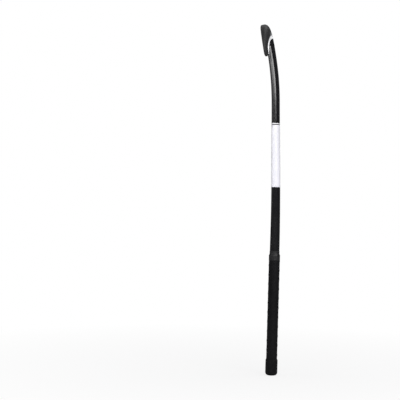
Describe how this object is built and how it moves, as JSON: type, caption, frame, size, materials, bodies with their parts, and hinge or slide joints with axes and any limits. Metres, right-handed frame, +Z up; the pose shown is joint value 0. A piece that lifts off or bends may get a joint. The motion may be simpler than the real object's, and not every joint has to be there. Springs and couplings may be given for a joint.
{
  "type": "field hockey stick",
  "caption": "Composite field hockey stick with a bowed hollow shaft, a hooked head with one flat face, a wrapped round grip and a flared rubber butt.",
  "frame": {"origin": "centre of the butt cap's flat end face", "axes": "+Z up the handle to the head, -Y towards the toe, -X out of the flat playing face"},
  "size_m": [0.0622, 0.1113, 0.9269],
  "materials": {
    "lacquered_composite": "gloss lacquer over carbon, satin on the head",
    "raw_laminate": "unpolished laminate",
    "bladder_film": "thin nylon film",
    "core_foam": "closed-cell foam",
    "plug_plastic": "moulded",
    "cushion_foam": "soft foam strip",
    "grip": "matte tacky grip tape, spiral wrapped",
    "tape": "smooth vinyl tape",
    "butt_rubber": "matte moulded rubber",
    "white_print": "printed film under clear lacquer",
    "pale_print": "printed film under clear lacquer"
  },
  "bodies": {
    "root": {"shell": "lacquered_composite", "centre_web": "raw_laminate", "bladder_toe_side": "bladder_film", "bladder_heel_side": "bladder_film", "head_core": "core_foam", "end_plug": "plug_plastic", "cushion_wrap": "cushion_foam", "grip_tape": "grip", "finishing_tape": "tape", "butt_cap": "butt_rubber", "white_band": "white_print", "trim_line": "pale_print", "head_stripe": "white_print"}
  },
  "joints": []
}
